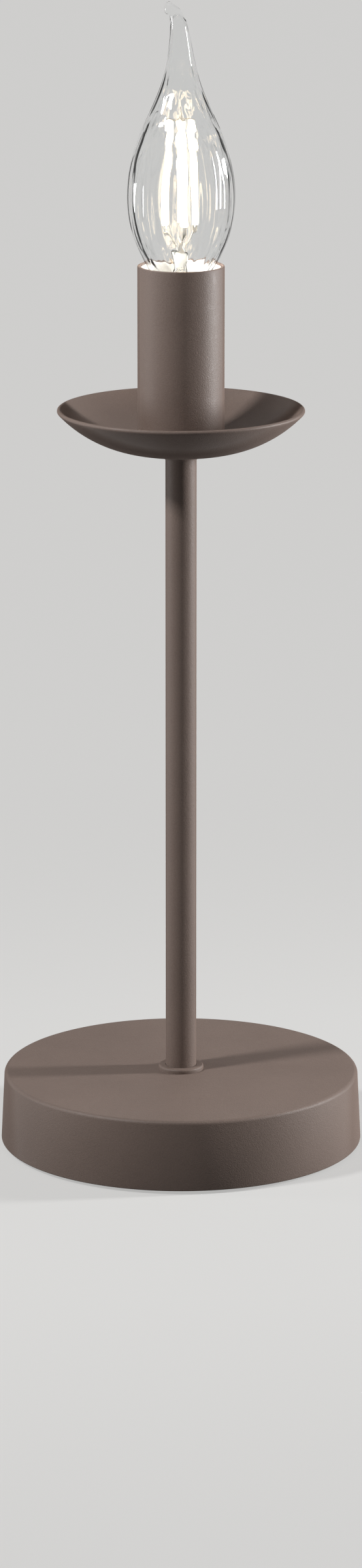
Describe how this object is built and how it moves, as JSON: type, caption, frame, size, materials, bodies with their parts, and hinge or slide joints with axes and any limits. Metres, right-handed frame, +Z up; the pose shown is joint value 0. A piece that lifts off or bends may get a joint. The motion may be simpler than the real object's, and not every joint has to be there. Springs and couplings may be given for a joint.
{
  "type": "candle table lamp",
  "caption": "Candle table lamp: round weighted base, thin stem, drip pan, candle sleeve and a clear bent-tip filament bulb in a screw lampholder; no shade.",
  "frame": {"origin": "centre of the underside, on the table", "axes": "+Z up along the stem, +Y to the rear where the cord goes in, -X the side to which the bulb's tip bends"},
  "size_m": [0.1206, 0.1213, 0.3811],
  "materials": {
    "powder_coat": "matte",
    "foam": "matte",
    "zinc_steel": "satin",
    "cast_iron": "matte",
    "black_rubber": "matte",
    "brass": "satin",
    "bronze": "satin",
    "white_plastic": "matte",
    "liner_white": "matte",
    "block_plastic": "satin",
    "wire_blue": "satin",
    "wire_brown": "satin",
    "wire_green_yellow": "satin",
    "nickel": "polished",
    "solder": "satin",
    "dark_glass": "gloss",
    "resin": "matte",
    "clear_glass": "gloss",
    "mount_glass": "gloss",
    "phosphor": "matte"
  },
  "bodies": {
    "stand": {"foot_pad": "foam", "bottom_plate": "zinc_steel", "plate_screws": "zinc_steel", "base_cover": "powder_coat", "ballast_weight": "cast_iron", "cord_inlet_bush": "black_rubber", "terminal_block": "block_plastic", "terminal_sleeves": "brass", "terminal_screws": "zinc_steel", "terminal_fixing_screw": "zinc_steel", "earth_tag": "brass", "earth_screw": "zinc_steel", "stem_washer": "zinc_steel", "stem_nut": "zinc_steel", "foot_collar": "powder_coat", "stem_tube": "powder_coat", "pan_cone": "powder_coat", "drip_pan": "powder_coat", "candle_sleeve": "powder_coat", "sleeve_liner": "liner_white", "holder_strap": "zinc_steel", "holder_strap_screw": "zinc_steel", "pan_washer": "zinc_steel", "pan_nut": "zinc_steel", "holder_body": "white_plastic", "holder_terminals": "brass", "holder_terminal_screws": "zinc_steel", "holder_shell": "nickel", "holder_centre_contact": "bronze", "neutral_wire": "wire_blue", "live_wire": "wire_brown", "earth_wire": "wire_green_yellow"},
    "bulb_tip": {"cap_tip": "solder"},
    "bulb": {"cap_insulator": "dark_glass", "cap_shell": "nickel", "bulb_driver": "resin", "bulb_glass": "clear_glass", "filament_mount": "mount_glass", "led_filaments": "phosphor", "filament_leads": "nickel", "filament_hub": "nickel"}
  },
  "joints": [
    {"name": "bulb_rise", "type": "slide", "parent": "stand", "child": "bulb_tip", "axis": [0, 0, 1], "range_m": [0, 0.0127]},
    {"name": "bulb_turn", "type": "hinge", "parent": "bulb_tip", "child": "bulb", "pos_m": [0, 0, 0.27], "axis": [0, 0, 1], "range_deg": [0, 1620]}
  ],
  "couplings": [
    {"joint": "bulb_rise", "follows": "bulb_turn", "m_per_rad": 0.00044913}
  ]
}
